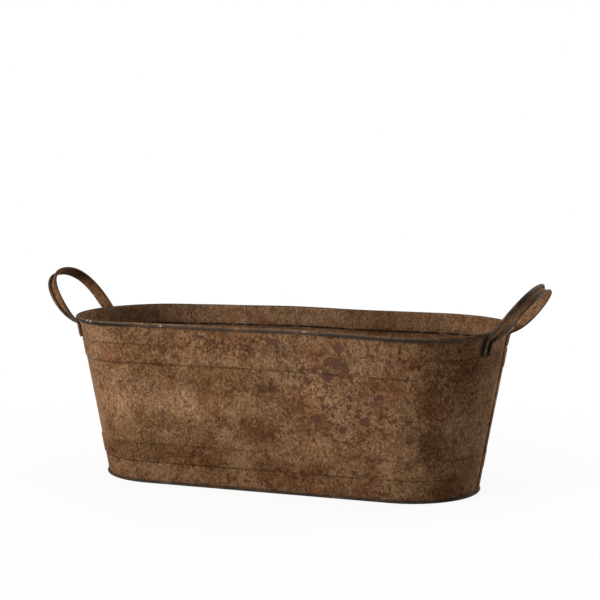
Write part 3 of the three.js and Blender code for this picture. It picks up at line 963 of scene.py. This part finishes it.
# bent by hand, so the handles differ a little, and so do the halves of the right one
handleBends = dict(
    right=dict(
        footSpacing=91.4 * mm, reach=33 * mm, rise=38.9 * mm, tilt=math.radians(54.2),
        legDirtAndShade=1.0, legRust=0.0, wear=0.9,
        halves=(
            dict(spacing=90.8 * mm, belowRim=3.5 * mm, lift=math.radians(30.3),
                 lead=18.3 * mm, round=74.4 * mm, twist=76.6 * mm),
            dict(spacing=89.6 * mm, belowRim=3.9 * mm, lift=math.radians(22.5),
                 lead=20.7 * mm, round=81.7 * mm, twist=71.8 * mm),
        ),
    ),
    left=dict(
        footSpacing=88 * mm, reach=33.9 * mm, rise=41.4 * mm, tilt=math.radians(51.7),
        legDirtAndShade=0.35, legRust=0.7, wear=0.75,
        halves=2 * (
            dict(spacing=81 * mm, belowRim=3.6 * mm, lift=math.radians(28.5),
                 lead=14.2 * mm, round=53.5 * mm, twist=68.4 * mm),
        ),
    ),
)
edgeCurl = strap["wire"] / 2 + strap["gap"] + strap["sheet"] / 2
edgeCentre = (strap["width"] / 2 - edgeCurl - strap["sheet"] / 2, edgeCurl + strap["sheet"] / 2)


def curveAt(points, share):
    while len(points) > 2:
        points = [a.lerp(b, share) for a, b in zip(points, points[1:])]
    return points[0].lerp(points[1], share), (points[1] - points[0]).normalized()


# where a leg of the given spacing lies on the front half of the right end's wall
def legPlace(spacing, z):
    radius = wallRadius(z) + tub["sheet"] / 2 + tub["gap"]
    angle = math.asin(-spacing / 2 / radius)
    outward = Vector((math.cos(angle), math.sin(angle), 0))
    along = Vector((math.sin(angle), -math.cos(angle), 0))
    return Vector((tub["halfSide"], 0, z)) + outward * radius, outward, along


# up the right end's wall, out under the rim bead and round to the middle of the grip,
# twisting from the bend on
def halfStrap(shape, half):
    footZ = bands["centres"][0] + bands["height"] / 2 + strap["footAboveBand"]
    foot, _, alongFoot = legPlace(shape["footSpacing"], footZ)
    corner, outward, alongCorner = legPlace(half["spacing"], beadBottom - half["belowRim"])
    away = outward * math.cos(half["lift"]) + upAxis * math.sin(half["lift"])
    bendStart = corner - (corner - foot).normalized() * strap["bend"]
    bendEnd = corner + away * strap["bend"]
    tip = Vector((tub["halfSide"] + tub["rimRadius"] + shape["reach"], 0, tub["height"] + shape["rise"]))
    beforeTip = Vector((tip.x, -half["round"], tip.z))
    acrossTip = Vector((-math.sin(shape["tilt"]), 0, math.cos(shape["tilt"])))
    route = dict(
        leg=(foot, bendStart),
        bend=(bendStart, corner, bendEnd),
        grip=(bendEnd, bendEnd + away * half["lead"], beforeTip, tip),
    )
    stations = []
    walked = 0.0  # along the strap, from the start of the bend
    for part, points in route.items():
        count = strap["steps"][part]
        for i in range(count + (part == "grip")):  # the grip has its end too
            place, tangent = curveAt(points, i / count)
            if part == "leg":
                across = alongFoot.lerp(alongCorner, i / count)
            else:
                if i or part == "grip":
                    walked += (place - stations[-1]["core"]).length
                untwisted = 1 - min(walked / half["twist"], 1)
                across = alongCorner.lerp(acrossTip, 1 - untwisted * untwisted)
            across = (across - tangent * across.dot(tangent)).normalized()
            onWall = 1 - smoothStep(walked, 0, half["lead"])
            stations.append(dict(
                core=place, across=across, out=tangent.cross(across),
                # dirt and painted shade on the legs, where they lie on the wall under the rim
                dirtShare=onWall * shape["legDirtAndShade"],
                wearShare=shape["wear"] * (1 - onWall * shape["legRust"]),
            ))
    return stations


def strapStations(shape):
    front, rear = (halfStrap(shape, half) for half in shape["halves"])
    return front + moved(rear[-2::-1], mirrorFront)


def strapSection():
    rolled = arcPoints(edgeCentre, edgeCurl, -math.pi / 2, strap["curlTurn"], strap["curlSteps"])
    for i, point in enumerate(rolled):
        turned = strap["curlTurn"] * i / strap["curlSteps"]
        point["edgeWear"] = strap["worn"] * smoothStep(turned, *strap["wornTurns"])
        # the rolled edges take dirt and painted shade where the legs lie under the rim
        point["grime"] = smoothStep(turned, *strap["dirtAndShadeTurns"])
    web = [dict(x=rolled[0]["x"] * share, y=rolled[0]["y"]) for share in strap["webShares"]]
    otherEdge = [dict(p, x=-p["x"]) for p in reversed(rolled)]
    outline = sheetOutline(otherEdge + web + rolled, strap["sheet"])
    return [dict(p, inside=float(p["y"] < 0)) for p in outline]


for end, turn in (("right", unturned), ("left", halfTurn)):
    stations = moved(strapStations(handleBends[end]), turn)
    bentStrap = sweep(end + "Strap", stations, strapSection(), strapRust)
    addPiece(end + "_handle_strap", bentStrap, end + "_handle")
    for edge, side in (("upper", 1), ("lower", -1)):
        wire = circleSection((side * edgeCentre[0], edgeCentre[1]), strap["wire"])
        wire = sweep(end + edge, stations, wire, bareSteel)
        addPiece(f"{end}_handle_{edge}_edge_wire", wire, f"{end}_handle_{edge}_wire")
print("handles made")

# camera at the photograph's angle
camera = dict(
    azimuth=20.4446, elevation=9.632, distance=1635.8 * mm, height=87 * mm, lens=91.0, sensor=36,
    aimAside=11.78 * mm, aimAbove=106.5 * mm,
)


def aimed(body, place, aim):
    body.location = place
    body.rotation_euler = (aim - body.location).to_track_quat("-Z", "Y").to_euler()


def addCamera():
    turn = math.radians(camera["azimuth"])
    tilt = math.radians(camera["elevation"])
    middle = Vector((0, 0, camera["height"]))
    back = Vector((math.sin(turn) * math.cos(tilt), -math.cos(turn) * math.cos(tilt), math.sin(tilt)))
    aside = Vector((math.cos(turn), math.sin(turn), 0))
    data = bpy.data.cameras.new("camera")
    data.lens = camera["lens"]
    data.sensor_width = camera["sensor"]
    data.dof.use_dof = False
    body = linkObject("camera", data)
    aim = middle + aside * camera["aimAside"] + upAxis * camera["aimAbove"]
    aimed(body, middle + back * camera["distance"], aim)
    bpy.context.scene.camera = body


studio = dict(
    floorSize=12.0, paper="#f4f3f1", white="#ffffff", paperGlow=0.92, shadowStart=0.2, shadowReach=0.6,
    worldLight=0.14, lampAim=(0.0, 0.0, 0.1),
)


# 1 where the camera sees the studio itself, also mirrored or through something, and 0 for its light
def seenDirectly(tree):
    rays = addNode(tree, "ShaderNodeLightPath")
    seen = rays["Is Camera Ray"]
    for kind in ("Is Glossy Ray", "Is Transmission Ray"):
        seen = addNode(tree, "ShaderNodeMath", {0: seen, 1: rays[kind]}, operation="MAXIMUM")[0]
    return seen


# matt white paper: keeps a soft shadow under the tub and is plain white farther off
def addFloor():
    half = studio["floorSize"] / 2
    corners = [(-half, -half, 0), (half, -half, 0), (half, half, 0), (-half, half, 0)]
    mesh = bpy.data.meshes.new("floor")
    mesh.from_pydata(corners, [], [(0, 1, 2, 3)])
    floor = linkObject("floor", mesh)
    material = newMaterial("studioPaper")
    tree = material.node_tree
    where = addNode(tree, "ShaderNodeTexCoord")["Object"]
    far = addNode(tree, "ShaderNodeVectorMath", {0: where}, operation="LENGTH")["Value"]
    far = {"Value": far, 1: studio["shadowStart"], 2: studio["shadowReach"], 3: studio["paperGlow"], 4: 1.0}
    far = addNode(tree, "ShaderNodeMapRange", far)[0]
    share = {0: seenDirectly(tree), 1: far}
    share = addNode(tree, "ShaderNodeMath", share, operation="MULTIPLY")[0]
    paper = addNode(tree, "ShaderNodeBsdfDiffuse", {"Color": hexColor(studio["paper"])})[0]
    white = {"Color": hexColor(studio["white"]), "Strength": 1.0}
    white = addNode(tree, "ShaderNodeEmission", white)[0]
    mixed = addNode(tree, "ShaderNodeMixShader", {0: share, 1: paper, 2: white})[0]
    addNode(tree, "ShaderNodeOutputMaterial", {"Surface": mixed})
    mesh.materials.append(material)


def addWorld():
    world = bpy.data.worlds.new("studio")
    world.use_nodes = True
    tree = world.node_tree
    tree.nodes.clear()
    strength = {"Value": seenDirectly(tree), 3: studio["worldLight"], 4: 1.0}
    strength = addNode(tree, "ShaderNodeMapRange", strength)[0]
    sky = {"Color": hexColor(studio["white"]), "Strength": strength}
    sky = addNode(tree, "ShaderNodeBackground", sky)[0]
    addNode(tree, "ShaderNodeOutputWorld", {"Surface": sky})
    bpy.context.scene.world = world


lamps = (
    dict(name="keyLight", place=(-1.35, -1.55, 0.8), size=1.1, power=51.0),
    dict(name="topLight", place=(0.1, 0.1, 1.6), size=1.0, power=6.0),
    dict(name="edgeLight", place=(1.0, 1.05, 0.5), size=0.9, power=13.0),
)


def addLamp(name, place, size, power):
    data = bpy.data.lights.new(name, "AREA")
    data.size = size
    data.energy = power
    aimed(linkObject(name, data), Vector(place), Vector(studio["lampAim"]))


addCamera()
addFloor()
addWorld()
for lamp in lamps:
    addLamp(**lamp)
bpy.context.scene.view_settings.view_transform = "Standard"
print("studio set")
